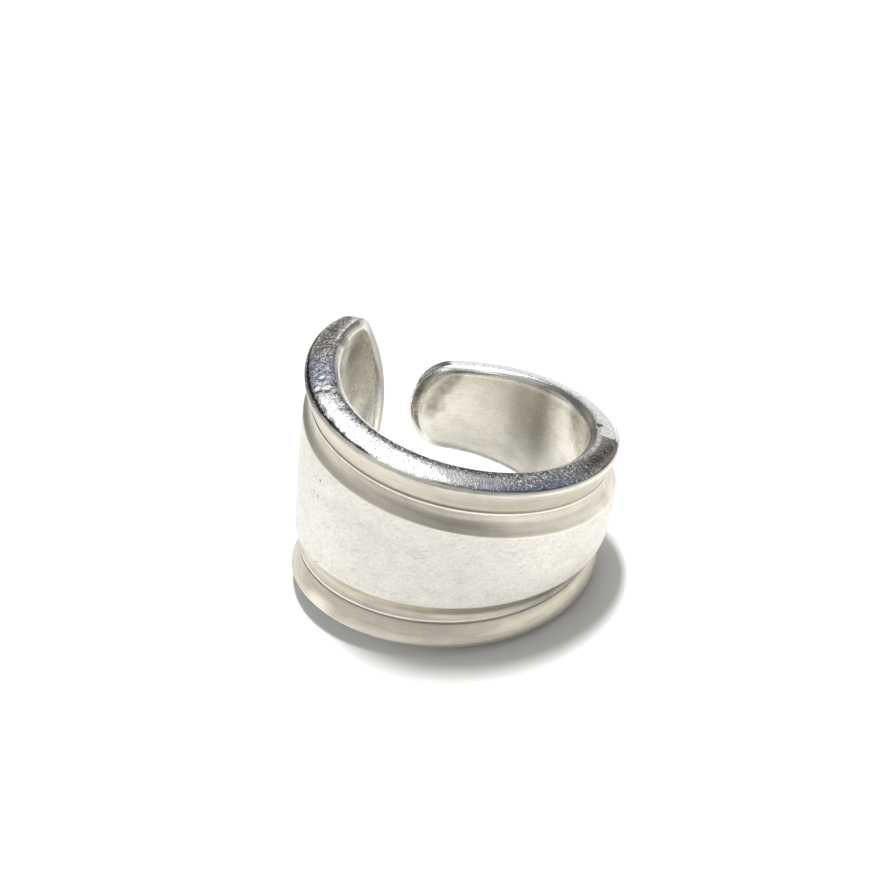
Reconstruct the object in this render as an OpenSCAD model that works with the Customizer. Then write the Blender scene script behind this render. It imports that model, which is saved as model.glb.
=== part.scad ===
// Open band ring made from the end of a spoon handle, lying as it rests on its lower edge.
// The band is one piece of metal. It tapers from a broad arched end, round the front, to a narrow round end.
// Angles run round the bore: 0 is the front (-Y) and +90 the right (+X).

/* [Bore] */
// Inner diameter of the ring
bore_d = 16.4; // [15:0.1:20]
// Height above the bore at which lengths along the band are measured
mean_rise = 1.1; // [0.8:0.05:1.5]

/* [Band] */
// Angle of the tip of the broad end
broad_tip = -142.8; // [-150:0.1:-138]
// Radius of the shallow arch across the broad end
broad_arch_r = 12.8; // [11:0.1:16]
// Rounding of the corners where the arch meets the edges
broad_corner_r = 0.9; // [0.6:0.1:2]
// Angle of the tip of the narrow end
narrow_tip = 205.5; // [198:0.5:210]
// Length of the rounded part of the narrow end
narrow_round = 2.9; // [2:0.1:4]

/* [Borders] */
// Rise of the panel's crown above its borders
panel_crown = 0.07; // [0:0.01:0.2]
// Slant of the outer wall: how much it thickens for each millimetre of height
wall_slant = 0.015; // [0:0.001:0.03]
// Half width under which the border mouldings become finer
fine_under = 5.0; // [4:0.1:6]
// Height above the bore of the crest that runs along both edges
edge_crest = 0.45; // [0.2:0.05:0.8]
// Height above the bore of the crest round the broad end
broad_crest = 0.9; // [0.3:0.05:1.2]
// Height above the bore of the crest round the narrow end
narrow_crest = 0.6; // [0.3:0.05:1.2]

/* [Inner edges] */
// Width of the softened inner corner along the upper edge
soft_upper = 0.5; // [0.3:0.05:0.8]
// Width of the softened inner corner along the lower edge
soft_lower = 1.0; // [0.3:0.05:1.2]
// Width of the softened inner corner round the broad end
soft_broad = 1.8; // [0.6:0.05:2.2]
// Width of the softened inner corner round the narrow end
soft_narrow = 0.7; // [0.4:0.05:1]

/* [Rest] */
// Turn about X that brings the lower edge down on the surface
rest_x = 0.55; // [-3:0.01:3]
// Turn about Y that brings the lower edge down on the surface
rest_y = 10.08; // [6:0.01:12]
// Turn about Z of the resting ring, which faces the front square to -Y
rest_z = -7.0; // [-15:0.1:15]

/* [Detail] */
// Points along each long edge
edge_points = 64; // [40:4:72]
// Points round each half of the broad end, and of the narrow one
end_points = 9; // [6:1:12]

/* [Hidden] */

bore_r = bore_d / 2;
per_degree = (bore_r + mean_rise) * PI / 180;
broad_s = broad_tip * per_degree;
narrow_s = narrow_tip * per_degree;

// The band every 40 degrees from first_angle: half of its width, its thickness at the flanges' outer corners,
// and its thickness at the panel's borders
first_angle = -140;
angle_step = 40;
half_width = 0;
flange_t = 1;
panel_t = 2;
band_rows = [
    [8.35, 1.95, 2.00],
    [8.40, 2.08, 2.04],
    [7.60, 2.20, 2.08],
    [6.95, 2.18, 2.10],
    [6.30, 2.00, 2.10],
    [5.60, 1.92, 2.16],
    [4.90, 1.94, 2.20],
    [4.15, 1.86, 2.02],
    [3.50, 1.76, 1.84],
    [3.10, 1.70, 1.78],
];

// The rim, from the crest of the edge to the flange: distance in from the edge, and share of the rise
inset = 0;
rise = 1;
slanted = 2;
rim_rows = [
    [0.00, 0.00],
    [0.05, 0.26],
    [0.18, 0.57],
    [0.42, 0.86],
    [0.70, 1.00],
];

// The border: the flange slopes in to a fine groove, and a bead and a hollow follow it.
// Distance in from the edge, depth under the flange's outer corner,
// and how far the row follows the panel's outside instead
depth = 1;
to_panel = 2;
border_rows = [
    [1.10, 0.09, 0.0],
    [1.98, 0.43, 0.0],
    [2.13, 0.53, 0.0],
    [2.24, 0.46, 0.0],
    [2.37, 0.42, 0.0],
    [2.50, 0.50, 0.1],
    [2.80, 0.52, 0.3],
    [3.25, 0.32, 0.7],
    [3.66, 0.00, 1.0],
];

// The softened inner corner, from under the bore to the crest: share of its width, and share of the crest's height
soft_rows = [
    [1.80, -0.28],
    [0.60, 0.14],
    [0.30, 0.45],
];

soft_n = len(soft_rows);
rim_n = len(rim_rows);
section_n = soft_n + rim_n + len(border_rows);
field_steps = 6;
field_sink = 0.35;

function mix(a, b, t) = a + (b - a) * t;
function clamp01(t) = max(0, min(1, t));

// Smooth curve through four evenly spaced values
function through(a, b, c, d, t) =
    b + t * (c - a) / 2 + t * t * (a - 2.5 * b + 2 * c - d / 2) + t * t * t * (1.5 * (b - c) + (d - a) / 2);

// A column of the band's table at any angle
function band_at(column, angle) =
    let (
        last = len(band_rows) - 1,
        at = max(0, min(last, (angle - first_angle) / angle_step)),
        i = min(last - 1, floor(at)),
        a = band_rows[max(0, i - 1)][column],
        d = band_rows[min(last, i + 2)][column]
    )
    through(a, band_rows[i][column], band_rows[i + 1][column], d, at - i);

function half_at(s) = band_at(half_width, s / per_degree);

// Corner where the arch across the broad end meets the edges
arch_depth = broad_arch_r - sqrt(pow(broad_arch_r, 2) - pow(half_at(broad_s), 2));
corner_half = half_at(broad_s + arch_depth);
arch_angle = asin(corner_half / broad_arch_r);
corner_s = broad_s + broad_arch_r * (1 - cos(arch_angle));

// The arch stops and the edge starts a little away from the corner, and a bend of this many points joins them
soften_angle = broad_corner_r / broad_arch_r * 180 / PI;
arch_end = arch_angle - soften_angle;
arch_stop = [broad_s + broad_arch_r * (1 - cos(arch_end)), broad_arch_r * sin(arch_end)];
edge_start = [corner_s + broad_corner_r, half_at(corner_s + broad_corner_r)];
round_s = narrow_s - narrow_round;
corner_points = 5;

function bend(a, b, c, t) = mix(mix(a, b, t), mix(b, c, t), t);

// Outline of the upper half of the band laid flat, from tip to tip: length along the band, and height
half_outline = concat(
    [for (i = [0 : end_points - 1])
        let (a = arch_end * i / end_points)
        [broad_s + broad_arch_r * (1 - cos(a)), broad_arch_r * sin(a)]],
    [for (i = [0 : corner_points])
        bend(arch_stop, [corner_s, corner_half], edge_start, i / corner_points)],
    [for (i = [1 : edge_points])
        let (s = mix(edge_start[0], round_s, i / edge_points))
        [s, half_at(s)]],
    [for (i = [1 : end_points])
        let (a = 90 * i / end_points, s = round_s + narrow_round * sin(a))
        [s, half_at(s) * cos(a)]]
);

half_n = len(half_outline) - 1;
loop_n = 2 * half_n;

// The loop runs along the upper half and back along the lower one
function fold(i) = i <= half_n ? i : loop_n - i;
function side(i) = i <= half_n ? 1 : -1;

// Point of the centre line that each outline point faces, so that the borders mitre at the corners
spine_start = corner_s + corner_half * cos(arch_angle) / (1 + sin(arch_angle));
spine_stop = narrow_s - half_at(round_s);
function spine(s) = mix(spine_start, spine_stop, clamp01((s - corner_s) / (round_s - corner_s)));

function direction(i) =
    let (
        a = half_outline[max(0, i - 1)],
        b = half_outline[min(half_n, i + 1)],
        ahead = i == 0 ? [0, 1] : i == half_n ? [0, -1] : b - a
    )
    ahead / norm(ahead);

// Step inwards from outline point i that lies one millimetre in from the edge
function inward(i) =
    let (
        p = half_outline[i],
        d = direction(i),
        to_spine = [spine(p[0]) - p[0], -p[1]],
        reach = d[1] * to_spine[0] - d[0] * to_spine[1]
    )
    to_spine / reach;

function fineness(i) = min(1, half_at(half_outline[i][0]) / fine_under);
function band_of(column, i) = band_at(column, half_outline[i][0] / per_degree);

// How far outline point i lies round the broad end, and round the narrow one, from 0 to 1
function round_broad(i) = clamp01(1 - (half_outline[i][0] - broad_s) / (edge_start[0] - broad_s));
function round_narrow(i) = clamp01((half_outline[i][0] - round_s) / narrow_round);

function soft_width(i) =
    let (
        f = fold(i),
        edge = side(i) > 0 ? soft_upper : soft_lower,
        plain = mix(edge, (soft_upper + soft_lower) / 2, max(round_broad(f), round_narrow(f)))
    )
    mix(mix(plain, soft_broad, round_broad(f)), soft_narrow, round_narrow(f));

function crest(i) =
    mix(mix(edge_crest, broad_crest, round_broad(i)), narrow_crest, round_narrow(i));

// Rows of the section at loop point i: distance in from the edge, height above the bore,
// and how much of the wall's slant the row takes
function section(i) =
    let (
        f = fold(i),
        soft = soft_width(i),
        top = crest(f),
        t = band_of(flange_t, f),
        panel = band_of(panel_t, f),
        fine = fineness(f)
    )
    concat(
        [for (row = soft_rows) [row[inset] * soft, row[rise] * top, 0]],
        [for (row = rim_rows) [row[inset] * fine, mix(top, t, row[rise]), row[rise]]],
        [for (row = border_rows) [row[inset] * fine, mix(t, panel, row[to_panel]) - row[depth], 1]]
    );

// The section's points at loop point i: length along, height, height above the bore
function stations(i) =
    let (
        f = fold(i),
        step = inward(f)
    )
    [for (row = section(i))
        let (
            p = half_outline[f] + row[inset] * step,
            z = side(i) * p[1]
        )
        [p[0], z, row[rise] + row[slanted] * wall_slant * z]];

loop_stations = [for (i = [0 : loop_n - 1]) stations(i)];

function rolled(p) =
    let (
        angle = p[0] / per_degree,
        r = bore_r + p[2]
    )
    [r * sin(angle), -r * cos(angle), p[1]];

ring_points = [for (row = loop_stations) for (p = row) rolled(p)];

// Fields that close the loop: rungs between the upper and the lower half, outside and under the bore
function rung(k, crown) =
    [for (i = [1 : half_n - 1]) for (m = [1 : field_steps - 1])
        let (
            t = m / field_steps,
            a = loop_stations[i][k],
            b = loop_stations[loop_n - i][k],
            p = mix(a, b, t),
            swell = crown * 4 * t * (1 - t)
        )
        rolled([p[0], p[1], p[2] + swell])];

panel_points = rung(section_n - 1, panel_crown);
under_points = rung(0, -field_sink);

function ring_index(i, k) = (i % loop_n) * section_n + k;

// Index of point m of rung i, where the rung's ends are loop points
function rung_index(base, k, i, m) =
    m == 0 ? ring_index(i, k) :
    m == field_steps ? ring_index(loop_n - i, k) :
    base + (i - 1) * (field_steps - 1) + m - 1;

ring_faces = [for (i = [0 : loop_n - 1]) for (k = [0 : section_n - 2]) for (half = [0, 1])
    let (
        a = ring_index(i, k),
        b = ring_index(i, k + 1),
        c = ring_index(i + 1, k + 1),
        d = ring_index(i + 1, k)
    )
    half == 0 ? [a, c, b] : [a, d, c]];

function strip(a, b, c, d, out) = out ? [[a, c, b], [a, d, c]] : [[a, b, c], [a, c, d]];

function field_faces(base, k, out) =
    concat(
        [for (m = [0 : field_steps - 1])
            let (
                tip = ring_index(0, k),
                a = rung_index(base, k, 1, m),
                b = rung_index(base, k, 1, m + 1)
            )
            out ? [tip, a, b] : [tip, b, a]],
        [for (i = [1 : half_n - 2]) for (m = [0 : field_steps - 1])
            each strip(
                rung_index(base, k, i, m), rung_index(base, k, i, m + 1),
                rung_index(base, k, i + 1, m + 1), rung_index(base, k, i + 1, m), out)],
        [for (m = [0 : field_steps - 1])
            let (
                tip = ring_index(half_n, k),
                a = rung_index(base, k, half_n - 1, m),
                b = rung_index(base, k, half_n - 1, m + 1)
            )
            out ? [tip, b, a] : [tip, a, b]]
    );

panel_base = loop_n * section_n;
under_base = panel_base + len(panel_points);
band_points = concat(ring_points, panel_points, under_points);
band_faces = concat(
    ring_faces,
    field_faces(panel_base, section_n - 1, true),
    field_faces(under_base, 0, false)
);

// The bore is cut by a cylinder longer than the band is wide, whose first corner faces the gap between the ends
bore_length = 4 * half_at(broad_s);
gap_angle = (narrow_tip + broad_tip + 360) / 2 - 90;

// Where a point of the ring lies once it has been turned to rest
function turned(p) =
    let (
        y = p[1] * cos(rest_x) - p[2] * sin(rest_x),
        z = p[1] * sin(rest_x) + p[2] * cos(rest_x),
        x = p[0] * cos(rest_y) + z * sin(rest_y)
    )
    [x * cos(rest_z) - y * sin(rest_z), x * sin(rest_z) + y * cos(rest_z), z * cos(rest_y) - p[0] * sin(rest_y)];

resting = [for (p = concat(ring_points, panel_points)) turned(p)];
function middle(axis) = (max([for (p = resting) p[axis]]) + min([for (p = resting) p[axis]])) / 2;
seat = [-middle(0), -middle(1), -min([for (p = resting) p[2]])];

module band() {
    color([0.86, 0.85, 0.83])
    translate(seat)
    rotate([rest_x, rest_y, rest_z])
    difference() {
        polyhedron(points = band_points, faces = band_faces, convexity = 6);
        rotate([0, 0, gap_angle])
        cylinder(h = bore_length, r = bore_r, center = true, $fn = 180);
    }
}

band();
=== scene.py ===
from math import pi, radians

import bpy
import numpy as np
from mathutils import Matrix, Vector


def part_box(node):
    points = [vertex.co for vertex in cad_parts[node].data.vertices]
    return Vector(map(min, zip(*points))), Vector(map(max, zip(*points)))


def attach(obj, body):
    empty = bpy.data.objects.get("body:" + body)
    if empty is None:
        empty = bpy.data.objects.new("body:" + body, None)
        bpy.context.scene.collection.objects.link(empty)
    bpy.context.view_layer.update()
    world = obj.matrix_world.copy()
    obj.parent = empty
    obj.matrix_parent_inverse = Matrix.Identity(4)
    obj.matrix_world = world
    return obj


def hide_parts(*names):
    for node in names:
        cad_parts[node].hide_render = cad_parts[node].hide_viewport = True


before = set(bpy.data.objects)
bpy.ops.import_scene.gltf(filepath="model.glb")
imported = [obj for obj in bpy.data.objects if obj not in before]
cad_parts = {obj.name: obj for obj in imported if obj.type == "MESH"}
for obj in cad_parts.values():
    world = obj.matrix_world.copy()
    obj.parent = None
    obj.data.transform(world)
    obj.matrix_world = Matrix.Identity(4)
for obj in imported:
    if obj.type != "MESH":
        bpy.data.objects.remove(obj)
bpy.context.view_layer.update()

# A silver ring bent from the end of a spoon's handle. Lengths are in millimetres until a mesh is made.
# Angles run round the finger: 0 is the front (-Y) and +90 the right (+X).
mm = 0.001


# The band's surface

band = {
    "boreRadius": 8.2,
    "meanRise": 1.1,          # height above the bore at which lengths along the band are measured
    "broadTip": -142.8,       # degrees
    "broadArch": 12.8,        # radius of the arch across the broad end
    "broadCorner": 0.9,       # how far the corners are softened where the arch meets the edges
    "narrowTip": 205.5,       # degrees
    "narrowRound": 2.9,       # length of the narrow end's rounding
    "panelCrown": 0.07,       # rise of the panel's middle over its borders
    "wallSlant": 0.015,       # how much the wall thickens for each millimetre of height
    "fineUnder": 5.0,         # half width under which the rim and the border get finer
    "edgeCrest": 0.45,        # heights above the bore of the crest, along the edges and round the two ends
    "broadCrest": 0.9,
    "narrowCrest": 0.6,
    "softUpper": 0.5,         # widths of the softened inner corner, along the edges and round the two ends
    "softLower": 1.0,
    "softBroad": 1.8,
    "softNarrow": 0.7,
    "softCurve": 2.2,         # how steeply the softened corner rises to the crest
    "rimWidth": 0.7,          # from the crest to the flange's outer corner
    "rimCurve": 1.36,         # how steeply the rim rises from the crest
    "turns": (0.55, 10.08, -7.0),   # degrees about X, Y and Z, from upright to rest
    "firstAngle": -140,       # of the first row of sizes; each further row lies one step on
    "angleStep": 40,
    # half width, thickness at the flanges' outer corners, thickness at the panel's borders
    "sizes": (
        (8.35, 1.95, 2.00),
        (8.40, 2.08, 2.04),
        (7.60, 2.20, 2.08),
        (6.95, 2.18, 2.10),
        (6.30, 2.00, 2.10),
        (5.60, 1.92, 2.16),
        (4.90, 1.94, 2.20),
        (4.15, 1.86, 2.02),
        (3.50, 1.76, 1.84),
        (3.10, 1.70, 1.78),
    ),
    # distance in from the edge, depth under the flange's outer corner, how far it follows the panel instead
    "border": (
        (0.70, 0.00, 0.0),
        (1.05, 0.08, 0.0),
        (1.50, 0.24, 0.0),
        (2.00, 0.44, 0.0),
        (2.06, 0.48, 0.0),
        (2.11, 0.51, 0.0),
        (2.16, 0.48, 0.0),
        (2.22, 0.43, 0.0),
        (2.34, 0.44, 0.0),
        (2.50, 0.49, 0.1),
        (2.80, 0.51, 0.3),
        (3.25, 0.32, 0.7),
        (3.60, 0.04, 1.0),
        (3.72, 0.00, 1.0),
    ),
    # how far the inside opens near the ends, its width, and its reach from the tips
    "flare": (0.07, 1.6, 7.0),
    "samples": {"end": 400, "bend": 100, "edge": 3000},   # points of the outline before it is spaced evenly
    "steps": {"along": 460, "soft": 12, "rim": 16, "border": 3, "panel": 22, "bore": 18},
}
steps = band["steps"]


def smooth(t):
    return t * t * (3 - 2 * t)


def mix(a, b, t):
    return a + (b - a) * t


def addObject(name, data):
    made = bpy.data.objects.new(name, data)
    bpy.context.scene.collection.objects.link(made)
    return made


# Smooth curve through evenly spaced rows, read at places counted in rows: a cubic between each two rows,
# whose slope at a row is half the step from the row before it to the row after it
def through(rows, at):
    rows = np.asarray(rows, float)
    last = len(rows) - 1
    at = np.clip(at, 0, last)
    i = np.minimum(at.astype(int), last - 1)
    t = (at - i).reshape(-1, *[1] * (rows.ndim - 1))
    a, b, c, d = (rows[np.clip(i + k, 0, last)] for k in (-1, 0, 1, 2))
    return b + t * (c - a) / 2 + t**2 * (a - 2.5 * b + 2 * c - d / 2) + t**3 * (1.5 * (b - c) + (d - a) / 2)


perDegree = (band["boreRadius"] + band["meanRise"]) * pi / 180


# Sizes of the band at lengths along it: half width, flange, panel
def sizesAt(s):
    return through(band["sizes"], (s / perDegree - band["firstAngle"]) / band["angleStep"])


def halfAt(s):
    return sizesAt(np.atleast_1d(s))[:, 0]


broadS = band["broadTip"] * perDegree
narrowS = band["narrowTip"] * perDegree
roundS = narrowS - band["narrowRound"]
archR = band["broadArch"]
cornerHalf = halfAt(broadS + archR - np.sqrt(archR**2 - halfAt(broadS) ** 2))[0]
archAngle = np.arcsin(cornerHalf / archR)
cornerS = broadS + archR * (1 - np.cos(archAngle))
edgeS = cornerS + band["broadCorner"]


# Length of a line from its start to each of its points
def runAlong(line):
    return np.concatenate([[0], np.cumsum(np.linalg.norm(np.diff(line, axis=0), axis=1))])


# Outline of the upper half laid flat: an arc across the broad end, a bend (a parabola), the tapering edge,
# and at the narrow end the taper times a quarter ellipse. It is then spaced evenly by its length.
def halfOutline(count):
    samples = band["samples"]
    a = np.linspace(0, archAngle - band["broadCorner"] / archR, samples["end"])
    arch = np.stack([broadS + archR * (1 - np.cos(a)), archR * np.sin(a)], 1)
    corner, edgeStart = np.array([cornerS, cornerHalf]), np.array([edgeS, halfAt(edgeS)[0]])
    t = np.linspace(0, 1, samples["bend"])[:, None]
    bend = mix(mix(arch[-1], corner, t), mix(corner, edgeStart, t), t)
    s = np.linspace(edgeS, roundS, samples["edge"])
    edge = np.stack([s, halfAt(s)], 1)
    a = np.linspace(0, pi / 2, samples["end"])
    s = roundS + band["narrowRound"] * np.sin(a)
    end = np.stack([s, halfAt(s) * np.cos(a)], 1)
    line = np.concatenate([arch, bend[1:], edge[1:], end[1:]])
    run = runAlong(line)
    at = np.linspace(0, run[-1], count + 1)
    return np.stack([np.interp(at, run, line[:, 0]), np.interp(at, run, line[:, 1])], 1)


# Steps inwards from the outline's points, towards a spine on the centre line. Each ends one millimetre in
# from the edge, square to it: the way to the spine, divided by the spine's own distance in from the edge.
def inwardSteps(outline):
    ahead = np.gradient(outline, axis=0)
    ahead[0], ahead[-1] = (0, 1), (0, -1)
    ahead /= np.linalg.norm(ahead, axis=1, keepdims=True)
    spineStart = cornerS + cornerHalf * np.cos(archAngle) / (1 + np.sin(archAngle))
    spineStop = narrowS - halfAt(roundS)[0]
    spine = mix(spineStart, spineStop, np.clip((outline[:, 0] - cornerS) / (roundS - cornerS), 0, 1))
    toSpine = np.stack([spine - outline[:, 0], -outline[:, 1]], 1)
    reach = ahead[:, 1] * toSpine[:, 0] - ahead[:, 0] * toSpine[:, 1]
    return toSpine / reach[:, None]


# Points in length, height and rise above the bore go round the finger: the length becomes an angle
def rolled(p):
    angle = np.radians(p[..., 0] / perDegree)
    r = band["boreRadius"] + p[..., 2]
    return np.stack([r * np.sin(angle), -r * np.cos(angle), p[..., 1]], -1)


# Turns about X, Y and Z lay the upright ring down on its lower edge
def turned(p):
    x, y, z = (radians(a) for a in band["turns"])
    turn = Matrix.Rotation(z, 3, "Z") @ Matrix.Rotation(y, 3, "Y") @ Matrix.Rotation(x, 3, "X")
    return p @ np.array(turn).T


# How fine the rim and the border are: one where the band is broad, less where its half width is small
def finenessAt(s):
    return np.minimum(1, halfAt(s) / band["fineUnder"])[:, None]


# The section at every outline point: soft inner corner (a power curve), rim (a power of a quarter round) and
# border. Its rows have a distance in from the edge, a rise above the bore and a share of the wall's slant.
def sectionRows(outline, upper):
    s = outline[:, 0]
    _, flange, panel = sizesAt(s).T[..., None]
    fine = finenessAt(s)
    broad = np.clip(1 - (s - broadS) / (edgeS - broadS), 0, 1)
    narrow = np.clip((s - roundS) / band["narrowRound"], 0, 1)
    middle = (band["softUpper"] + band["softLower"]) / 2
    soft = mix(band["softUpper"] if upper else band["softLower"], middle, np.maximum(broad, narrow))
    soft = mix(mix(soft, band["softBroad"], broad), band["softNarrow"], narrow)[:, None]
    crest = mix(mix(band["edgeCrest"], band["broadCrest"], broad), band["narrowCrest"], narrow)[:, None]
    u = np.linspace(0, 1, steps["soft"] + 1)[None, :-1]
    a = np.linspace(0, pi / 2, steps["rim"] + 1)[None, :-1]
    rows = band["border"]
    border = through(rows, np.linspace(0, len(rows) - 1, (len(rows) - 1) * steps["border"] + 1))
    inset, depth, toPanel = border.T[:, None, :]
    share = np.sin(a) ** band["rimCurve"]
    insets = np.concatenate([soft * (1 - u), fine * band["rimWidth"] * (1 - np.cos(a)), fine * inset], 1)
    rises = np.concatenate([crest * u ** band["softCurve"], mix(crest, flange, share),
                            mix(flange, panel, toPanel) - depth], 1)
    slants = np.concatenate([np.zeros_like(u), share, np.ones_like(inset)], 1)
    return insets, rises, np.tile(slants, (len(s), 1))


# Near the ends the inside opens a little: from nothing at the crest to the most a third of the way in, and to
# nothing again at the flare's width, as t times the square of 1 - t, whose highest value is 4/27
def opened(flat, spots, inside):
    rise, width, reach = band["flare"]
    nearTip = smooth(np.clip(1 - np.minimum(flat[:, 0] - broadS, narrowS - flat[:, 0]) / reach, 0, 1))
    t = np.clip(spots[:, 2] / width, 0, 1)
    return inside * nearTip * rise * (27 / 4) * t * (1 - t) ** 2


# The whole surface, in flat measure. Besides the points it gives each point's distance along the edge from
# the broad tip, round the section from the rim's inner crest, and in from the edge, for the materials. Then
# come the faces with four and three corners, how many each part has, and the loop's size.
def makeBand():
    outline = halfOutline(steps["along"])
    inward = inwardSteps(outline)
    edgeRun = runAlong(outline)
    fine = finenessAt(outline[:, 0])
    halves, places = [], []
    for upper in (True, False):
        insets, rises, slants = sectionRows(outline, upper)
        flat = outline[:, None, :] + insets[..., None] * inward[:, None, :]
        z = flat[..., 1] if upper else -flat[..., 1]
        halves.append(np.stack([flat[..., 0], z, rises + slants * band["wallSlant"] * z], -1))
        hop = np.hypot(np.diff(insets, axis=1), np.diff(rises, axis=1))
        sectionRun = np.concatenate([np.zeros((len(hop), 1)), np.cumsum(hop, axis=1)], 1)
        sectionRun -= sectionRun[:, steps["soft"], None]
        places.append(np.stack([edgeRun[:, None] + 0 * insets, sectionRun, insets / fine], -1))
    # the loop runs along the upper half and back along the lower one
    n = steps["along"]
    loop = np.concatenate([halves[0], halves[1][n - 1:0:-1]])
    place = np.concatenate([places[0], places[1][n - 1:0:-1]])
    count, width = loop.shape[:2]
    ring = np.arange(count * width).reshape(count, width)
    after = np.roll(ring, -1, 0)
    quads = [np.stack([ring[:, :-1], ring[:, 1:], after[:, 1:], after[:, :-1]], -1).reshape(-1, 4)]
    parts, spots, tris, total = [loop.reshape(-1, 3)], [place.reshape(-1, 3)], [], count * width

    # a field of rungs between the two halves closes the loop, over the panel and inside the bore
    for row, across, crown, out in ((width - 1, steps["panel"], band["panelCrown"], True),
                                    (0, steps["bore"], 0, False)):
        t = np.linspace(0, 1, across + 1)[1:-1, None]
        a, b = loop[1:n, row], loop[:n:-1, row]
        field = mix(a[:, None], b[:, None], t)
        field[..., 2] += crown * 4 * (t * (1 - t))[:, 0]
        grid = np.empty((n - 1, across + 1), int)
        grid[:, 0], grid[:, -1] = ring[1:n, row], ring[:n:-1, row]
        grid[:, 1:-1] = total + np.arange((n - 1) * (across - 1)).reshape(n - 1, -1)
        total += (n - 1) * (across - 1)
        parts.append(field.reshape(-1, 3))
        spot = mix(place[1:n, row][:, None], place[:n:-1, row][:, None], t)
        spot[..., 2] += np.minimum(t, 1 - t)[:, 0] * np.abs(a - b)[:, 1, None]
        spots.append(spot.reshape(-1, 3))
        face = np.stack([grid[:-1, :-1], grid[:-1, 1:], grid[1:, 1:], grid[1:, :-1]], -1).reshape(-1, 4)
        first = np.stack([np.full(across, ring[0, row]), grid[0, 1:], grid[0, :-1]], -1)
        last = np.stack([np.full(across, ring[n, row]), grid[-1, :-1], grid[-1, 1:]], -1)
        quads.append(face if out else face[:, ::-1])
        tris += [first, last] if out else [first[:, ::-1], last[:, ::-1]]
    counts = [len(q) for q in quads] + [len(t) for t in tris]
    inside = np.r_[np.tile(np.arange(width) <= steps["soft"], count), np.zeros(len(parts[1]), bool),
                   np.ones(len(parts[2]), bool)]
    flat, spots = np.concatenate(parts), np.concatenate(spots)
    flat[:, 2] += opened(flat, spots, inside)
    return flat, spots, np.concatenate(quads), np.concatenate(tris), counts, (count, width)


flatBand, spots, bandQuads, bandTris, faceCounts, (loopCount, rowCount) = makeBand()
print("band surface:", len(flatBand), "points")
points = turned(rolled(flatBand))
low, high = (np.array(corner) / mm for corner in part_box("band"))
middle = (points.max(0) + points.min(0)) / 2
seat = (low + high) / 2 - middle
seat[2] = low[2] - points[:, 2].min()
points += seat
print("seat", seat)

mesh = bpy.data.meshes.new("spoonRing")
mesh.from_pydata((points * mm).tolist(), [], bandQuads.tolist() + bandTris.tolist())
mesh.validate()
mesh.polygons.foreach_set("use_smooth", np.ones(len(mesh.polygons), bool))
ring = addObject("spoonRing", mesh)
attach(ring, "root")
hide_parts("band")

# Dents in the rims, each a bell curve. The named ones are on the upper rim: distance along the edge,
# distance round the rim, radius and depth. The others are strewn over both rims.
dents = {
    "named": (
        (44.75, 0.10, 0.22, 0.10),
        (17.20, 0.78, 0.14, 0.035), (17.75, 0.85, 0.13, 0.030), (18.25, 0.72, 0.14, 0.035),
        (18.00, 1.15, 0.15, 0.035), (17.55, 1.25, 0.13, 0.030), (16.80, 1.05, 0.13, 0.025),
        (30.70, 1.16, 0.14, 0.035), (31.00, 1.12, 0.13, 0.030), (31.40, 1.00, 0.14, 0.030),
        (34.36, 0.30, 0.14, 0.025), (15.77, 1.48, 0.14, 0.030), (20.10, 0.35, 0.16, 0.020),
        (19.60, 1.55, 0.22, 0.030), (20.60, 1.62, 0.30, 0.035), (21.80, 1.60, 0.25, 0.030),
        (23.10, 1.62, 0.28, 0.030), (24.60, 1.60, 0.22, 0.025), (26.40, 1.62, 0.25, 0.020),
    ),
    "strewn": 420, "radius": (0.14, 0.40), "depth": (0.001, 0.005), "seed": 5,
    "rimRound": 1.9,          # how far round the rim they are strewn
}
rng = np.random.default_rng(dents["seed"])
drawn = rng.random((dents["strewn"], 5))
strewn = np.stack([drawn[:, 0] * spots[:, 0].max(), drawn[:, 1] * dents["rimRound"],
                   mix(*dents["radius"], drawn[:, 2] ** 2), mix(*dents["depth"], drawn[:, 3] ** 2),
                   np.where(drawn[:, 4] < 0.5, 1, -1)], 1)
named = np.insert(np.array(dents["named"]), 4, 1, axis=1)
normals = np.empty(3 * len(points))
mesh.vertices.foreach_get("normal", normals)
onRim = np.flatnonzero(np.tile(np.arange(rowCount) <= steps["soft"] + steps["rim"] + 1, loopCount))
pushed = np.zeros(len(points))
for along, around, radius, depth, side in np.concatenate([named, strewn]):
    away = ((spots[onRim, 0] - along) ** 2 + (spots[onRim, 1] - around) ** 2) / radius**2
    pushed[onRim] += depth * np.exp(-away) * (flatBand[onRim, 1] * side > 0)
points -= pushed[:, None] * normals.reshape(-1, 3)
mesh.vertices.foreach_set("co", (points * mm).ravel())
mesh.update()
print("dents:", len(named), "named and", len(strewn), "strewn")

# Measures that the materials read at every point, in millimetres. On the band: length along it, height
# across it and distance in from the edge. On the edge: distance along it, distance round the section, and a
# share of the height, whose sign tells the upper side from the lower one.
heightShare = 0.3
for name, values in (
    ("onBand", (flatBand[:, 0], flatBand[:, 1], spots[:, 2])),
    ("onEdge", (spots[:, 0], spots[:, 1], flatBand[:, 1] * heightShare)),
):
    measure = mesh.attributes.new(name, "FLOAT_VECTOR", "POINT")
    measure.data.foreach_set("vector", np.stack(values, 1).astype(np.float32).ravel())

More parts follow.
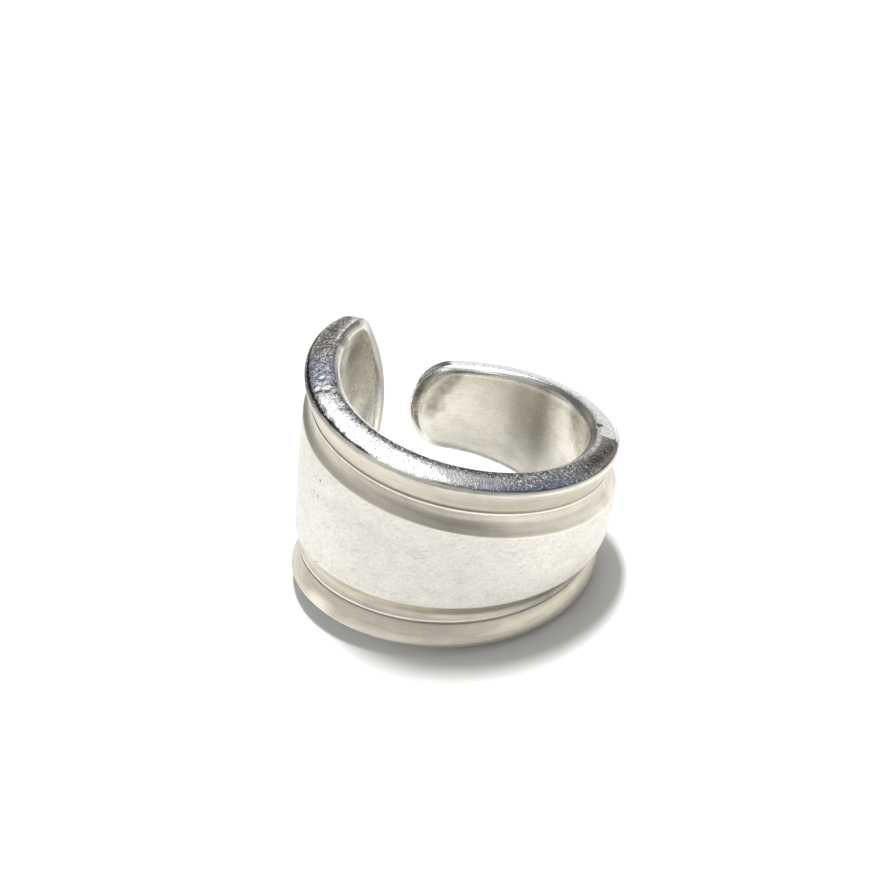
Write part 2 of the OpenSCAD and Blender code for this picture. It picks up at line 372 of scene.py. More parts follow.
# Where the worn polish lies. The rest of the loop is satin outside and inner silver inside.
polish = {
    "satinRows": 4,           # last rows of the rim, next to the flange, that have the border's satin instead
    # on the far arm the upper rim's polish goes on over part of the soft corner inside it, fading in and out
    "corner": {"from": 51.0, "to": 62.0, "fade": 2.5, "rows": 6},
    # near the broad end it reaches the upper flange's outer corner
    "tip": {"to": 20.5, "fade": 6.0, "rows": 4},
}
wornPolish, satinBorder, satinPanel, innerSilver = range(4)
rimStart, rimEnd = steps["soft"] - 1, steps["soft"] + steps["rim"] - polish["satinRows"]
rowFinish = np.full((loopCount, rowCount - 1), satinBorder)
rowFinish[:, :rimStart] = innerSilver
rowFinish[:, rimStart:rimEnd] = wornPolish

corner, tip = polish["corner"], polish["tip"]
atRow = spots[:loopCount * rowCount:rowCount, 0]
onUpper = np.arange(loopCount) <= steps["along"]
fromEnds = np.minimum(atRow - corner["from"], corner["to"] - atRow) / corner["fade"]
cornerRows = np.round(corner["rows"] * np.clip(fromEnds, 0, 1)) * onUpper
tipRows = np.round(tip["rows"] * np.clip((tip["to"] - atRow) / tip["fade"], 0, 1)) * onUpper
rowNumber = np.arange(rowCount - 1)
rowFinish[(rowNumber < rimStart) & (rowNumber >= rimStart - cornerRows[:, None])] = wornPolish
rowFinish[(rowNumber >= rimEnd) & (rowNumber < rimEnd + tipRows[:, None])] = wornPolish

# after the loop come the panel's field, the bore's field and the tips of each
fieldFinishes = (satinPanel, innerSilver, satinPanel, satinPanel, innerSilver, innerSilver)
finishOfFace = np.concatenate([rowFinish.ravel(), np.repeat(fieldFinishes, faceCounts[1:])])


# Small helpers for node trees. Inputs are sockets or plain values.
def addNode(tree, kind, inputs=(), **settings):
    made = tree.nodes.new(kind)
    for key, value in settings.items():
        setattr(made, key, value)
    for key, value in dict(inputs).items():
        if isinstance(value, bpy.types.NodeSocket):
            tree.links.new(value, made.inputs[key])
        else:
            made.inputs[key].default_value = value
    return made


def maths(tree, operation, *values):
    return addNode(tree, "ShaderNodeMath", enumerate(values), operation=operation).outputs[0]


def vectorMaths(tree, operation, *values):
    return addNode(tree, "ShaderNodeVectorMath", enumerate(values), operation=operation).outputs[0]


def scaled(tree, vector, factor):
    return addNode(tree, "ShaderNodeVectorMath", {0: vector, "Scale": factor}, operation="SCALE").outputs[0]


# A value with a share of an amount added to it
def added(tree, value, share, amount):
    return maths(tree, "ADD", value, maths(tree, "MULTIPLY", share, amount))


# A value less a share of itself
def lessened(tree, value, share, amount):
    less = maths(tree, "SUBTRACT", 1.0, maths(tree, "MULTIPLY", share, amount))
    return maths(tree, "MULTIPLY", value, less)


# A smooth step from one value to another
def remap(tree, value, fromLow, fromHigh, toLow=0.0, toHigh=1.0):
    return addNode(tree, "ShaderNodeMapRange", {0: value, 1: fromLow, 2: fromHigh, 3: toLow, 4: toHigh},
                   interpolation_type="SMOOTHSTEP").outputs[0]


def mixColours(tree, share, first, second, blend="MIX"):
    made = addNode(tree, "ShaderNodeMix", {0: share, 6: first, 7: second}, data_type="RGBA", blend_type=blend)
    return made.outputs[2]


def combined(tree, *values):
    return addNode(tree, "ShaderNodeCombineXYZ", enumerate(values)).outputs[0]


def parted(tree, vector):
    return addNode(tree, "ShaderNodeSeparateXYZ", {0: vector}).outputs


# What all the finishes share, in millimetres where it is a length
patterns = {
    "scratchSeed": 7.3, "pitSeed": 5.7,         # multiplied by the number of the set
    "mottleSeed": 21.7, "grainSeed": 3.1,       # the number of the set is added
    "scratchFrom": 0.75,      # value of the noise from which there is a scratch, for a share of nothing
    "scratchFall": 0.35,      # by how much that value falls for a share of one
    "scratchEdge": 0.08,      # from there to a full scratch
    "grainGain": 3.0, "grainRoughness": 0.55,
    "pitFrom": (0.45, 0.05), "spotFrom": (1.0, 0.3),   # distances, in sizes, at which they begin and are full
    "blotchSeed": 11.0, "blotchSize": 1.3, "stainFrom": (-0.2, 1.0),
    "waverSeed": 41.0, "waverSize": 0.25,
    "cutFade": 0.15,          # half the length over which a patch is cut off
    "lineFade": 1.0,          # length over which a line's stretch begins and ends
    "smoothest": 0.03, "brightest": 0.98,
}


# A node group with named inputs, which are numbers apart from the vector "Place", and one output
def makeGroup(name, inputs, output):
    tree = bpy.data.node_groups.new(name, "ShaderNodeTree")
    for word, value in inputs.items():
        kind = "NodeSocketVector" if word == "Place" else "NodeSocketFloat"
        socket = tree.interface.new_socket(word, in_out="INPUT", socket_type=kind)
        if word != "Place":
            socket.default_value = value
    tree.interface.new_socket(output, in_out="OUTPUT", socket_type="NodeSocketFloat")
    return tree, tree.nodes.new("NodeGroupInput").outputs, tree.nodes.new("NodeGroupOutput").inputs[output]


def useGroup(tree, group, **inputs):
    return addNode(tree, "ShaderNodeGroup", inputs, node_tree=group).outputs[0]


# Place divided by a size and moved by a seed, so that no two uses of a pattern are alike
def patternPlace(tree, given):
    inSizes = scaled(tree, given["Place"], maths(tree, "DIVIDE", 1.0, given["Size"]))
    return vectorMaths(tree, "ADD", inSizes, combined(tree, *[given["Seed"]] * 3))


# Scratches: noise that is stretched along one direction, kept only where it is highest
def makeScratches():
    words = {"Place": 0, "Angle": 0, "Length": 1, "Spacing": 0.1, "Share": 0.3, "Seed": 0}
    tree, given, out = makeGroup("scratches", words, "Mask")
    turnedPlace = addNode(tree, "ShaderNodeVectorRotate", {"Vector": given["Place"], "Angle": given["Angle"]},
                          rotation_type="Z_AXIS").outputs[0]
    stretch = combined(tree, given["Length"], given["Spacing"], 1.0)
    stretched = vectorMaths(tree, "DIVIDE", turnedPlace, stretch)
    at = vectorMaths(tree, "ADD", stretched, combined(tree, *[given["Seed"]] * 3))
    noise = addNode(tree, "ShaderNodeTexNoise", {"Vector": at, "Scale": 1.0, "Detail": 1.0}).outputs[0]
    fall = maths(tree, "MULTIPLY", given["Share"], patterns["scratchFall"])
    start = maths(tree, "SUBTRACT", patterns["scratchFrom"], fall)
    tree.links.new(remap(tree, noise, start, maths(tree, "ADD", start, patterns["scratchEdge"])), out)
    return tree


# Grain: noise of a given size in three octaves, about -1 to 1
def makeGrain():
    tree, given, out = makeGroup("grain", {"Place": 0, "Size": 0.1, "Seed": 0}, "Height")
    noise = addNode(tree, "ShaderNodeTexNoise", {
        "Vector": patternPlace(tree, given), "Scale": 1.0,
        "Detail": 2.0, "Roughness": patterns["grainRoughness"],
    }).outputs[0]
    tree.links.new(maths(tree, "MULTIPLY", maths(tree, "SUBTRACT", noise, 0.5), patterns["grainGain"]), out)
    return tree


# Pits: round hollows of a given size, in a share of the cells of a random pattern, deepest in the middle
def makePits():
    tree, given, out = makeGroup("pits", {"Place": 0, "Size": 0.2, "Share": 0.3, "Seed": 0}, "Mask")
    cells = addNode(tree, "ShaderNodeTexVoronoi", {"Vector": patternPlace(tree, given), "Scale": 1.0}).outputs
    chosen = maths(tree, "LESS_THAN", parted(tree, cells["Color"])[0], given["Share"])
    tree.links.new(maths(tree, "MULTIPLY", chosen, remap(tree, cells["Distance"], *patterns["pitFrom"])), out)
    return tree


# A spot: one in the middle, nothing past the radius
def makeSpot():
    tree, given, out = makeGroup("spot", {"Place": 0, "Across": 0, "Up": 0, "Radius": 0.1}, "Mask")
    flat = vectorMaths(tree, "MULTIPLY", given["Place"], (1, 1, 0))
    away = addNode(tree, "ShaderNodeVectorMath", {0: flat, 1: combined(tree, given["Across"], given["Up"])},
                   operation="DISTANCE").outputs["Value"]
    tree.links.new(remap(tree, maths(tree, "DIVIDE", away, given["Radius"]), *patterns["spotFrom"]), out)
    return tree


# Mask of a soft box: one inside its half width and half height, falling to nothing over the softness. In the
# sky the width is in degrees and goes round.
def makeSoftBox():
    words = {"Across": 0, "Up": 0, "MiddleAcross": 0, "MiddleUp": 0, "HalfWidth": 10, "HalfHeight": 10,
             "SoftWidth": 5, "SoftHeight": 5}
    tree, given, out = makeGroup("softBox", words, "Mask")
    across = maths(tree, "SUBTRACT", given["Across"], given["MiddleAcross"])
    aside = maths(tree, "ABSOLUTE", maths(tree, "WRAP", across, 180.0, -180.0))
    above = maths(tree, "ABSOLUTE", maths(tree, "SUBTRACT", given["Up"], given["MiddleUp"]))
    masks = []
    for away, half, soft in ((aside, "HalfWidth", "SoftWidth"), (above, "HalfHeight", "SoftHeight")):
        near = maths(tree, "SUBTRACT", given[half], given[soft])
        far = maths(tree, "ADD", given[half], given[soft])
        masks.append(remap(tree, away, near, far, 1.0, 0.0))
    tree.links.new(maths(tree, "MULTIPLY", *masks), out)
    return tree


scratchGroup, grainGroup, pitGroup, spotGroup = makeScratches(), makeGrain(), makePits(), makeSpot()
softBoxGroup = makeSoftBox()


def useSoftBox(tree, across, up, box):
    return useGroup(tree, softBoxGroup, Across=across, Up=up,
                    MiddleAcross=box["at"][0], MiddleUp=box["at"][1],
                    HalfWidth=box["half"][0], HalfHeight=box["half"][1],
                    SoftWidth=box["soft"][0], SoftHeight=box["soft"][1])


# The finishes. Lengths are in millimetres, and "on" names the measure that a finish's patterns follow.
# Scratch sets are: angle from the direction along the edge, length, spacing, share, depth, roughening,
# darkening. Grain is: size, height. Pits are: size, share, depth. Mottle is: size, share of the colour.
# Lines follow the edge: distance in from it, how far from there a line starts to fade and where it is gone,
# share, colour, and for some the stretch of the band that has them. Waver is how far they stray.
# Patches are soft boxes, and a negative darkening brightens. On the rims and borders they are on one side of
# the band (1 upper, -1 lower), placed by the distances along the edge and round the section, and "until"
# cuts one off at that distance along the edge. On the panel and inside they are placed by length along the
# band and height. Spots are: length along the band, height, radius, darkening.
finishes = {
    "wornPolish": {
        "on": "onEdge",
        "colour": (0.95, 0.945, 0.935), "stain": (0.80, 0.79, 0.77), "stained": 0.35,
        "roughness": 0.05, "blotch": 0.03,
        "scratches": (
            (88, 0.70, 0.06, 0.45, 0.0034, 0.02, 0.20),
            (97, 0.55, 0.07, 0.38, 0.0036, 0.02, 0.16),
            (66, 0.50, 0.08, 0.28, 0.0044, 0.02, 0.10),
            (-38, 0.40, 0.08, 0.22, 0.0040, 0.02, 0.08),
        ),
        "grain": ((0.10, 0.0012), (0.30, 0.0020)),
        "pits": ((0.17, 0.26, 0.0200), (0.115, 0.28, 0.0130)),
        "mottle": ((0.07, 0.14), (0.20, 0.10), (0.60, 0.08)),
        "lines": (
            # painted shade: dark lines along the rim's outer corner and along its crest, where the polish
            # mirrors dark surroundings
            (0.40, 0.02, 0.07, 0.90, (0.045, 0.045, 0.065), (-16.0, -5.5)),
            (0.41, 0.00, 0.05, 0.75, (0.05, 0.05, 0.05), (-30.0, -5.0)),
            (0.41, 0.00, 0.05, 0.75, (0.05, 0.05, 0.05), (-1.0, 40.0)),
            (0.00, 0.00, 0.03, 0.50, (0.10, 0.09, 0.08)),
        ),
        "waver": 0.05,
        "patches": (
            # painted dark reflection: the far right of the upper rim darkened and warmed, where it mirrors
            # dark surroundings
            {"side": 1, "at": (43.00, 0.95), "half": (4.60, 0.70), "soft": (2.00, 0.15),
             "until": 43.35, "darkening": 0.76, "tint": (1.0, 0.91, 0.80)},
            # painted shade: a darker stretch of the polished rim, where its mirrored light ends
            {"side": 1, "at": (31.20, 0.50), "half": (1.40, 0.70), "soft": (0.90, 0.30), "darkening": 0.22},
            # painted reflection: a bluish tint of the dark surroundings that the rim mirrors
            {"side": 1, "at": (34.00, 1.30), "half": (3.40, 0.35), "soft": (1.00, 0.25),
             "tint": (0.84, 0.87, 1.0)},
            {"side": 1, "at": (11.50, 1.05), "half": (3.00, 0.85), "soft": (1.00, 0.25),
             "tint": (1.0, 0.93, 0.85)},
            # painted reflection: a bluish tint of the dark surroundings that the rim mirrors
            {"side": 1, "at": (16.60, 0.80), "half": (1.30, 1.20), "soft": (0.60, 0.30),
             "tint": (0.86, 0.88, 1.0)},
            # painted shade: the rim darkened over the cluster of dents here
            {"side": 1, "at": (17.60, 0.95), "half": (1.10, 0.60), "soft": (0.50, 0.30), "darkening": 0.22},
            # painted highlight: the rim of the far arm brightened into a white strip; its bumps are also
            # smoothed and it is rougher there
            {"side": 1, "at": (55.70, 0.00), "half": (5.50, 0.90), "soft": (1.50, 0.30),
             "darkening": -0.22, "roughening": 0.06, "smoothing": 0.85},
        ),
    },
    "satinBorder": {
        "on": "onEdge",
        "colour": (0.68, 0.638, 0.545), "stain": (0.56, 0.52, 0.43), "stained": 0.35,
        "roughness": 0.44, "blotch": 0.05,
        "scratches": (
            (1, 3.5, 0.10, 0.5, 0.0015, 0.04, 0.07),
            (-3, 2.5, 0.14, 0.5, 0.0015, 0.04, 0.06),
            (60, 0.6, 0.10, 0.25, 0.0020, 0.05, 0.07),
        ),
        "grain": ((0.12, 0.0015), (0.8, 0.006)),
        "mottle": ((0.16, 0.05), (0.9, 0.06)),
        "lines": (
            # painted shade: the same dark lines along the rim's outer corner
            (0.41, 0.00, 0.05, 0.75, (0.05, 0.05, 0.05), (-30.0, -5.0)),
            (0.41, 0.00, 0.05, 0.75, (0.05, 0.05, 0.05), (-1.0, 40.0)),
            # painted highlight: a light line along the flange's outer corner
            (0.57, 0.05, 0.14, 0.75, (0.97, 0.95, 0.91), (-9.5, 20.0)),
            (1.02, 0.01, 0.06, 0.22, (0.40, 0.36, 0.29), (4.0, 14.0)),
            # tarnish and painted shade: a dark line in the groove
            (2.10, 0.02, 0.09, 0.30, (0.10, 0.085, 0.065)),
            # painted highlight: a light line along the bead's crest
            (2.27, 0.03, 0.07, 0.80, (0.97, 0.95, 0.91)),
        ),
        "waver": 0.012,
        "patches": (
            # painted light and shade: stretches of the lower and upper border darkened or brightened, where
            # they mirror darker or brighter surroundings
            {"side": -1, "at": (27.5, 4.50), "half": (7.5, 3.00), "soft": (3.0, 0.5), "darkening": 0.12},
            {"side": -1, "at": (21.0, 2.35), "half": (0.9, 0.35), "soft": (0.6, 0.25), "darkening": -0.48},
            {"side": -1, "at": (37.5, 3.60), "half": (3.5, 0.60), "soft": (2.0, 0.3), "darkening": 0.35},
            {"side": -1, "at": (35.5, 2.40), "half": (3.5, 0.50), "soft": (1.5, 0.3), "darkening": -0.20},
            {"side": -1, "at": (25.9, 4.90), "half": (2.2, 0.30), "soft": (1.0, 0.15), "darkening": -0.28},
            {"side": -1, "at": (26.0, 4.10), "half": (2.2, 0.28), "soft": (1.0, 0.15), "darkening": 0.15},
            {"side": 1, "at": (26.3, 4.15), "half": (4.2, 0.45), "soft": (2.0, 0.25), "darkening": 0.30},
            {"side": 1, "at": (26.5, 4.95), "half": (4.0, 0.25), "soft": (2.0, 0.15), "darkening": -0.20},
            {"side": 1, "at": (37.0, 4.85), "half": (6.0, 0.38), "soft": (2.0, 0.25), "darkening": -0.42},
            {"side": 1, "at": (33.0, 2.45), "half": (6.0, 0.55), "soft": (2.0, 0.20), "darkening": 0.15},
        ),
    },
    "satinPanel": {
        "on": "onBand",
        "colour": (0.735, 0.715, 0.665), "stain": (0.62, 0.60, 0.54), "stained": 0.35,
        "roughness": 0.44, "blotch": 0.05,
        "scratches": (
            (32, 0.85, 0.13, 0.38, 0.0020, 0.04, 0.085),
            (-15, 0.70, 0.12, 0.30, 0.0020, 0.04, 0.07),
            (75, 0.50, 0.11, 0.26, 0.0020, 0.04, 0.05),
        ),
        "grain": ((0.12, 0.0020), (0.6, 0.006), (3.0, 0.03)),
        "mottle": ((0.08, 0.10), (0.20, 0.14), (1.4, 0.05)),
        "patches": (
            # painted shade: the middle of the panel darkened
            {"at": (-1.0, -0.8), "half": (5.0, 3.5), "soft": (3.0, 2.0), "darkening": 0.12},
        ),
        "spots": (
            (-8.60, 2.55, 0.13, 0.75), (-8.65, 1.35, 0.12, 0.60),
            (-10.9, 1.45, 0.10, 0.35), (-8.40, -3.70, 0.13, 0.60),
        ),
    },
    "innerSilver": {
        "on": "onBand",
        "colour": (0.76, 0.73, 0.65), "stain": (0.58, 0.545, 0.45), "stained": 0.4,
        "roughness": 0.26, "blotch": 0.04,
        "brushed": 0.6,
        "scratches": (
            (1, 4.0, 0.09, 0.5, 0.0006, 0.02, 0.025),
            (-3, 3.0, 0.12, 0.5, 0.0006, 0.02, 0.025),
            (82, 1.5, 0.12, 0.3, 0.0006, 0.02, 0.02),
        ),
        "grain": ((0.15, 0.0006), (1.5, 0.004)),
        "mottle": ((0.16, 0.04), (0.8, 0.03)),
        "lines": (
            # painted highlights and painted shade: light and dark stripes inside, near the broad end and
            # beside its rim
            (1.82, 0.05, 0.14, 0.50, (0.97, 0.94, 0.86), (-30.0, -19.5)),
            (1.55, 0.02, 0.07, 0.30, (0.45, 0.42, 0.35), (-30.0, -19.5)),
            (1.28, 0.08, 0.20, 0.75, (0.97, 0.94, 0.86), (-30.0, -20.0)),
            (0.92, 0.03, 0.10, 0.35, (0.40, 0.37, 0.30), (-30.0, -20.0)),
            (0.40, 0.32, 0.52, 0.92, (0.19, 0.18, 0.155), (-30.0, -20.5)),
            (0.66, 0.03, 0.07, 0.40, (0.60, 0.56, 0.47), (-30.0, -20.5)),
            (0.50, 0.05, 0.16, 0.50, (0.35, 0.33, 0.28), (-18.0, -12.5)),
            # painted highlight: a light line inside the far arm, along its rim
            (0.60, 0.18, 0.32, 0.80, (0.98, 0.96, 0.91), (11.0, 34.0)),
        ),
        "waver": 0.04,
        "patches": (
            # painted light and shade: a dark vertical band inside the far arm, and lighter and darker
            # stretches elsewhere inside
            {"at": (24.0, 1.0), "half": (1.5, 7.0), "soft": (0.50, 1.0), "darkening": 0.17},
            {"at": (22.95, 1.0), "half": (0.65, 7.0), "soft": (0.40, 1.0), "darkening": 0.14},
            {"at": (17.6, 3.5), "half": (1.3, 3.0), "soft": (0.50, 1.0), "darkening": -0.22},
            {"at": (28.5, -2.7), "half": (3.5, 1.1), "soft": (1.5, 0.8), "darkening": 0.20},
            {"at": (27.5, -1.4), "half": (3.0, 1.2), "soft": (1.5, 0.8), "darkening": 0.12},
            {"at": (-19.0, 4.0), "half": (2.5, 3.5), "soft": (1.0, 1.0), "darkening": 0.10},
            {"at": (-18.2, 6.9), "half": (1.2, 0.9), "soft": (0.6, 0.5), "darkening": 0.20},
            {"at": (-16.2, 7.8), "half": (0.60, 0.6), "soft": (0.3, 0.3), "darkening": 0.55},
        ),
        "spots": (
            # painted dark reflection: a diagonal dark streak inside, near the narrow end
            (31.9, 0.6, 0.80, 0.42), (31.4, 1.3, 0.85, 0.42), (30.9, 1.9, 0.85, 0.42),
            (30.4, 2.5, 0.75, 0.38), (30.0, 3.0, 0.60, 0.32),
            (31.9, -0.1, 0.85, 0.34), (31.2, 0.3, 0.75, 0.28),
        ),
    },
}


def useGrain(tree, place, size, seed):
    return useGroup(tree, grainGroup, Place=place, Size=size, Seed=seed)


# Lines along the edge, drawn over a colour; most are painted highlights and painted shade
def addLines(tree, finish, at, colour):
    onBand = addNode(tree, "ShaderNodeAttribute", attribute_name="onBand").outputs["Vector"]
    along, _, inset = parted(tree, onBand)
    waver = useGrain(tree, at, patterns["waverSize"], patterns["waverSeed"])
    inset = added(tree, inset, waver, finish["waver"])
    fade = patterns["lineFade"]
    for lineAt, core, gone, share, lineColour, *stretch in finish["lines"]:
        away = maths(tree, "ABSOLUTE", maths(tree, "SUBTRACT", inset, lineAt))
        line = remap(tree, away, core, gone, 1.0, 0.0)
        for start, stop in stretch:
            line = maths(tree, "MULTIPLY", line, remap(tree, along, start - fade, start))
            line = maths(tree, "MULTIPLY", line, remap(tree, along, stop, stop + fade, 1.0, 0.0))
        colour = mixColours(tree, maths(tree, "MULTIPLY", line, share), colour, (*lineColour, 1))
    return colour


# Mask of a patch on a measure's first two directions, and on one side of the third where it names a side
def patchMask(tree, measure, patch):
    mask = useSoftBox(tree, measure[0], measure[1], patch)
    if "side" in patch:
        onSide = maths(tree, "GREATER_THAN", maths(tree, "MULTIPLY", measure[2], patch["side"]), 0.0)
        mask = maths(tree, "MULTIPLY", mask, onSide)
    if "until" in patch:
        start, stop = patch["until"] - patterns["cutFade"], patch["until"] + patterns["cutFade"]
        mask = maths(tree, "MULTIPLY", mask, remap(tree, measure[0], start, stop, 1.0, 0.0))
    return mask


# Silver with one finish. Scratches, pits, grain and patches add up to a height for the bump, a roughness,
# and a tone that the colour is multiplied by. Most of the patches and lines, and the spots inside, paint
# light and shade into that colour.
def makeSilver(name, finish):
    material = bpy.data.materials.new(name)
    material.use_nodes = True
    tree = material.node_tree
    shader = tree.nodes["Principled BSDF"]
    at = addNode(tree, "ShaderNodeAttribute", attribute_name=finish["on"]).outputs["Vector"]
    measure = parted(tree, at)
    height, rough, tone = 0.0, finish["roughness"], 1.0
    for number, scratches in enumerate(finish["scratches"]):
        angle, length, spacing, share, depth, roughening, darkening = scratches
        mask = useGroup(tree, scratchGroup, Place=at, Angle=radians(-angle), Length=length, Spacing=spacing,
                        Share=share, Seed=patterns["scratchSeed"] * number)
        height = added(tree, height, mask, -depth)
        rough = added(tree, rough, mask, roughening)
        tone = added(tree, tone, mask, -darkening)
    for number, (size, share, depth) in enumerate(finish.get("pits", ())):
        mask = useGroup(tree, pitGroup, Place=at, Size=size, Share=share, Seed=patterns["pitSeed"] * number)
        height = added(tree, height, mask, -depth)
    for number, (size, share) in enumerate(finish["mottle"]):
        tone = added(tree, tone, useGrain(tree, at, size, patterns["mottleSeed"] + number), share)
    tints = []
    for patch in finish["patches"]:
        mask = patchMask(tree, measure, patch)
        if "roughening" in patch:
            rough = added(tree, rough, mask, patch["roughening"])
        if "smoothing" in patch:
            height = lessened(tree, height, mask, patch["smoothing"])
        if "darkening" in patch:
            tone = lessened(tree, tone, mask, patch["darkening"])
        if "tint" in patch:
            tints.append((mask, patch["tint"]))
    for along, up, radius, darkening in finish.get("spots", ()):
        mask = useGroup(tree, spotGroup, Place=at, Across=along, Up=up, Radius=radius)
        tone = lessened(tree, tone, mask, darkening)
    for number, (size, rise) in enumerate(finish["grain"]):
        height = added(tree, height, useGrain(tree, at, size, patterns["grainSeed"] + number), rise)
    blotch = useGrain(tree, at, patterns["blotchSize"], patterns["blotchSeed"])
    rough = added(tree, rough, blotch, finish["blotch"])
    stain = remap(tree, blotch, *patterns["stainFrom"], 0.0, finish["stained"])
    colour = mixColours(tree, stain, (*finish["colour"], 1), (*finish["stain"], 1))
    for mask, tint in tints:
        colour = mixColours(tree, mask, colour, (*tint, 1), "MULTIPLY")
    if "lines" in finish:
        colour = addLines(tree, finish, at, colour)
    toned = vectorMaths(tree, "MINIMUM", scaled(tree, colour, tone), (patterns["brightest"],) * 3)
    bump = addNode(tree, "ShaderNodeBump", {"Strength": 1.0, "Distance": mm, "Height": height})
    tree.links.new(toned, shader.inputs["Base Color"])
    tree.links.new(maths(tree, "MAXIMUM", rough, patterns["smoothest"]), shader.inputs["Roughness"])
    tree.links.new(bump.outputs[0], shader.inputs["Normal"])
    shader.inputs["Metallic"].default_value = 1
    if "brushed" in finish:
        # brushed along the band, so highlights spread across it, along the ring's own axis
        shader.inputs["Anisotropic"].default_value = finish["brushed"]
        ringAxis = turned(np.array((0.0, 0.0, 1.0))).tolist()
        tree.links.new(combined(tree, *ringAxis), shader.inputs["Tangent"])
    return material


for name, finish in finishes.items():
    mesh.materials.append(makeSilver(name, finish))
mesh.polygons.foreach_set("material_index", finishOfFace.astype(np.int32))
print("finishes:", list(finishes))


# Floor, light and camera

stage = {
    "floor": (0.82, 0.82, 0.81),
    "floorHalf": 1.0,         # metres
    "backdrop": (0.97, 0.97, 0.965),
    # the lamp's slopes from straight above, and its distance, size and power in metres and watts
    "key": {"slopes": (0.010, 0.115), "distance": 0.5, "size": (0.045, 0.12), "power": 2.7},
    "below": (1.0, 1.0, 0.99), "horizon": (0.18, 0.18, 0.175), "zenith": (0.45, 0.45, 0.45),
    "belowFrom": (0.0, -0.03),      # rises over which the horizon's light turns into the light from below
    "zenithFrom": (0.5, 0.95),      # and into the zenith's
    "leastRise": 0.02,              # by which the ceiling's slopes are divided, so that they stay finite
    # wall cards are placed by compass angle from +Y towards +X and by height above the floor, in degrees, and
    # ceiling cards in the ceiling's own plane, as slopes across and back; half gives half widths and heights
    "wallCards": {
        "leftWindow":   {"at": (-108, 14), "half": (50, 22), "soft": (8, 8), "light": (0.71, 0.71, 0.70)},
        "rightFront":   {"at": (122, 10), "half": (28, 18), "soft": (12, 8), "light": (0.78, 0.78, 0.77)},
        "rightWall":    {"at": (82, 45), "half": (26, 28), "soft": (12, 10), "light": (0.14, 0.15, 0.19)},
        "backWall":     {"at": (0, 27), "half": (64, 32), "soft": (8, 8), "light": (0.14, 0.145, 0.155)},
        "rightBand":    {"at": (73, 8), "half": (33, 12), "soft": (4, 5), "light": (0.90, 0.90, 0.88)},
        "rightLow":     {"at": (24, 11), "half": (7, 10), "soft": (3, 3), "light": (0.80, 0.80, 0.79)},
        "backLow":      {"at": (-26, 17), "half": (9, 9), "soft": (6, 6), "light": (0.38, 0.36, 0.33)},
        "farGlow":      {"at": (6, 27), "half": (5, 12), "soft": (2, 4), "light": (1.15, 1.15, 1.14)},
        "lowWindow":    {"at": (14, 8), "half": (13, 9), "soft": (3, 3), "light": (0.8, 0.8, 0.79)},
        "viewer":       {"at": (180, 27), "half": (38, 14), "soft": (20, 10), "light": (0.18, 0.18, 0.18)},
    },
    "ceilingCards": {
        "glow":         {"at": (0.42, 0.40), "half": (0.22, 0.36), "soft": (0.14, 0.10),
                         "light": (0.5, 0.5, 0.5)},
        "frontLeft":    {"at": (-0.33, -0.62), "half": (0.17, 0.20), "soft": (0.08, 0.08),
                         "light": (1.0, 1.0, 1.0)},
        "frontLight":   {"at": (-0.03, -0.18), "half": (0.22, 0.18), "soft": (0.05, 0.05),
                         "light": (1.1, 1.1, 1.1)},
        "skylight":     {"at": (0.02, 0.325), "half": (0.31, 0.375), "soft": (0.04, 0.04),
                         "light": (2.0, 2.0, 2.0)},
    },
}

# The room that the silver mirrors: a horizon, a zenith, the light from below, and cards as soft boxes over
# them. The camera sees a plain backdrop instead.
world = bpy.data.worlds.new("studio")
bpy.context.scene.world = world
world.use_nodes = True
sky = world.node_tree
east, north, rise = parted(sky, addNode(sky, "ShaderNodeTexCoord").outputs["Generated"])
compass = maths(sky, "MULTIPLY", maths(sky, "ARCTAN2", east, north), 180 / pi)
lift = maths(sky, "MULTIPLY", maths(sky, "ARCSINE", rise), 180 / pi)
over = maths(sky, "MAXIMUM", rise, stage["leastRise"])
ceilingAcross, ceilingBack = maths(sky, "DIVIDE", east, over), maths(sky, "DIVIDE", north, over)
towardsZenith = remap(sky, rise, *stage["zenithFrom"])
colour = mixColours(sky, towardsZenith, (*stage["horizon"], 1), (*stage["zenith"], 1))
colour = mixColours(sky, remap(sky, rise, *stage["belowFrom"]), colour, (*stage["below"], 1))
for cards, across, up in (("wallCards", compass, lift), ("ceilingCards", ceilingAcross, ceilingBack)):
    for card in stage[cards].values():
        colour = mixColours(sky, useSoftBox(sky, across, up, card), colour, (*card["light"], 1))
seen = addNode(sky, "ShaderNodeLightPath").outputs["Is Camera Ray"]
sky.links.new(mixColours(sky, seen, colour, (*stage["backdrop"], 1)), sky.nodes["Background"].inputs[0])

key = bpy.data.lights.new("key", "AREA")
key.shape, key.energy = "ELLIPSE", stage["key"]["power"]
key.size, key.size_y = stage["key"]["size"]
keyLamp = addObject("key", key)
toKey = Vector((*stage["key"]["slopes"], 1)).normalized()
keyLamp.location = toKey * stage["key"]["distance"]
keyLamp.rotation_euler = toKey.to_track_quat("Z", "Y").to_euler()
keyLamp.visible_glossy = False

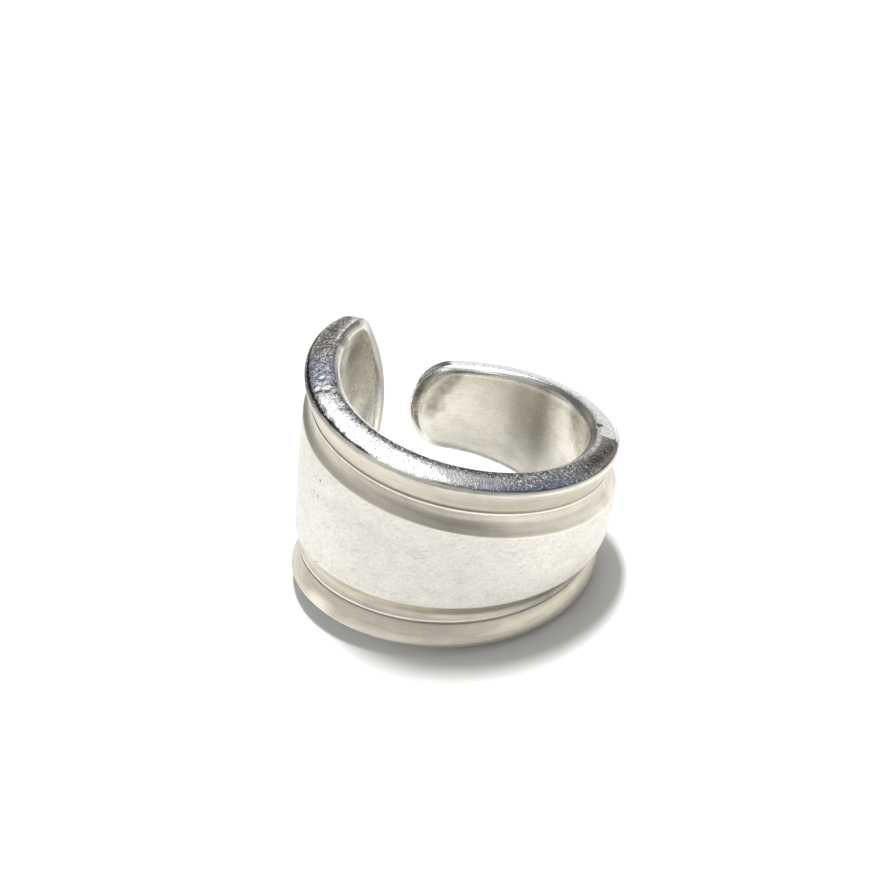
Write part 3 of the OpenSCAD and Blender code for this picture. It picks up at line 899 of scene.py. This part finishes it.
floorMesh = bpy.data.meshes.new("floor")
half = stage["floorHalf"]
floorCorners = [(-half, -half, 0), (half, -half, 0), (half, half, 0), (-half, half, 0)]
floorMesh.from_pydata(floorCorners, [], [(0, 1, 2, 3)])
floor = addObject("floor", floorMesh)
floorMaterial = bpy.data.materials.new("floor")
floorMaterial.use_nodes = True
floorShader = floorMaterial.node_tree.nodes["Principled BSDF"]
floorShader.inputs["Base Color"].default_value = (*stage["floor"], 1)
floorShader.inputs["Roughness"].default_value = 1
floorShader.inputs["Specular IOR Level"].default_value = 0.0
floorMesh.materials.append(floorMaterial)
print("studio:", [*stage["wallCards"], *stage["ceilingCards"]])

camera = {
    "lens": 77.14,
    "sensor": 36,
    "distance": 123.61,       # from the middle of the ring
    "elevation": 31.516,      # degrees
    "azimuth": 0.0,
    "roll": 4.246,
    "ringAt": (455.08, 477.56),   # pixel where the middle of the ring shows
    "picture": 880,           # pixels across and down
    "clip": (0.01, 10),       # metres
}
e, a = radians(camera["elevation"]), radians(camera["azimuth"])
forward = Vector((-np.sin(a) * np.cos(e), np.cos(a) * np.cos(e), -np.sin(e)))
right = Vector((np.cos(a), np.sin(a), 0))
up = right.cross(forward)
roll = radians(camera["roll"])
right, up = right * np.cos(roll) - up * np.sin(roll), right * np.sin(roll) + up * np.cos(roll)
pixels = camera["lens"] / camera["sensor"] * camera["picture"]
offset = [(p - camera["picture"] / 2) / pixels for p in camera["ringAt"]]
toRing = forward + right * offset[0] - up * offset[1]
eye = Vector(seat) - toRing * camera["distance"]
lens = bpy.data.cameras.new("camera")
lens.lens, lens.sensor_width = camera["lens"], camera["sensor"]
lens.clip_start, lens.clip_end = camera["clip"]
shot = addObject("camera", lens)
shot.matrix_world = Matrix((
    (right.x, up.x, -forward.x, eye.x * mm),
    (right.y, up.y, -forward.y, eye.y * mm),
    (right.z, up.z, -forward.z, eye.z * mm),
    (0, 0, 0, 1),
))
bpy.context.scene.camera = shot
print("camera", [round(v, 3) for v in eye])

bpy.context.scene.view_settings.view_transform = "Standard"
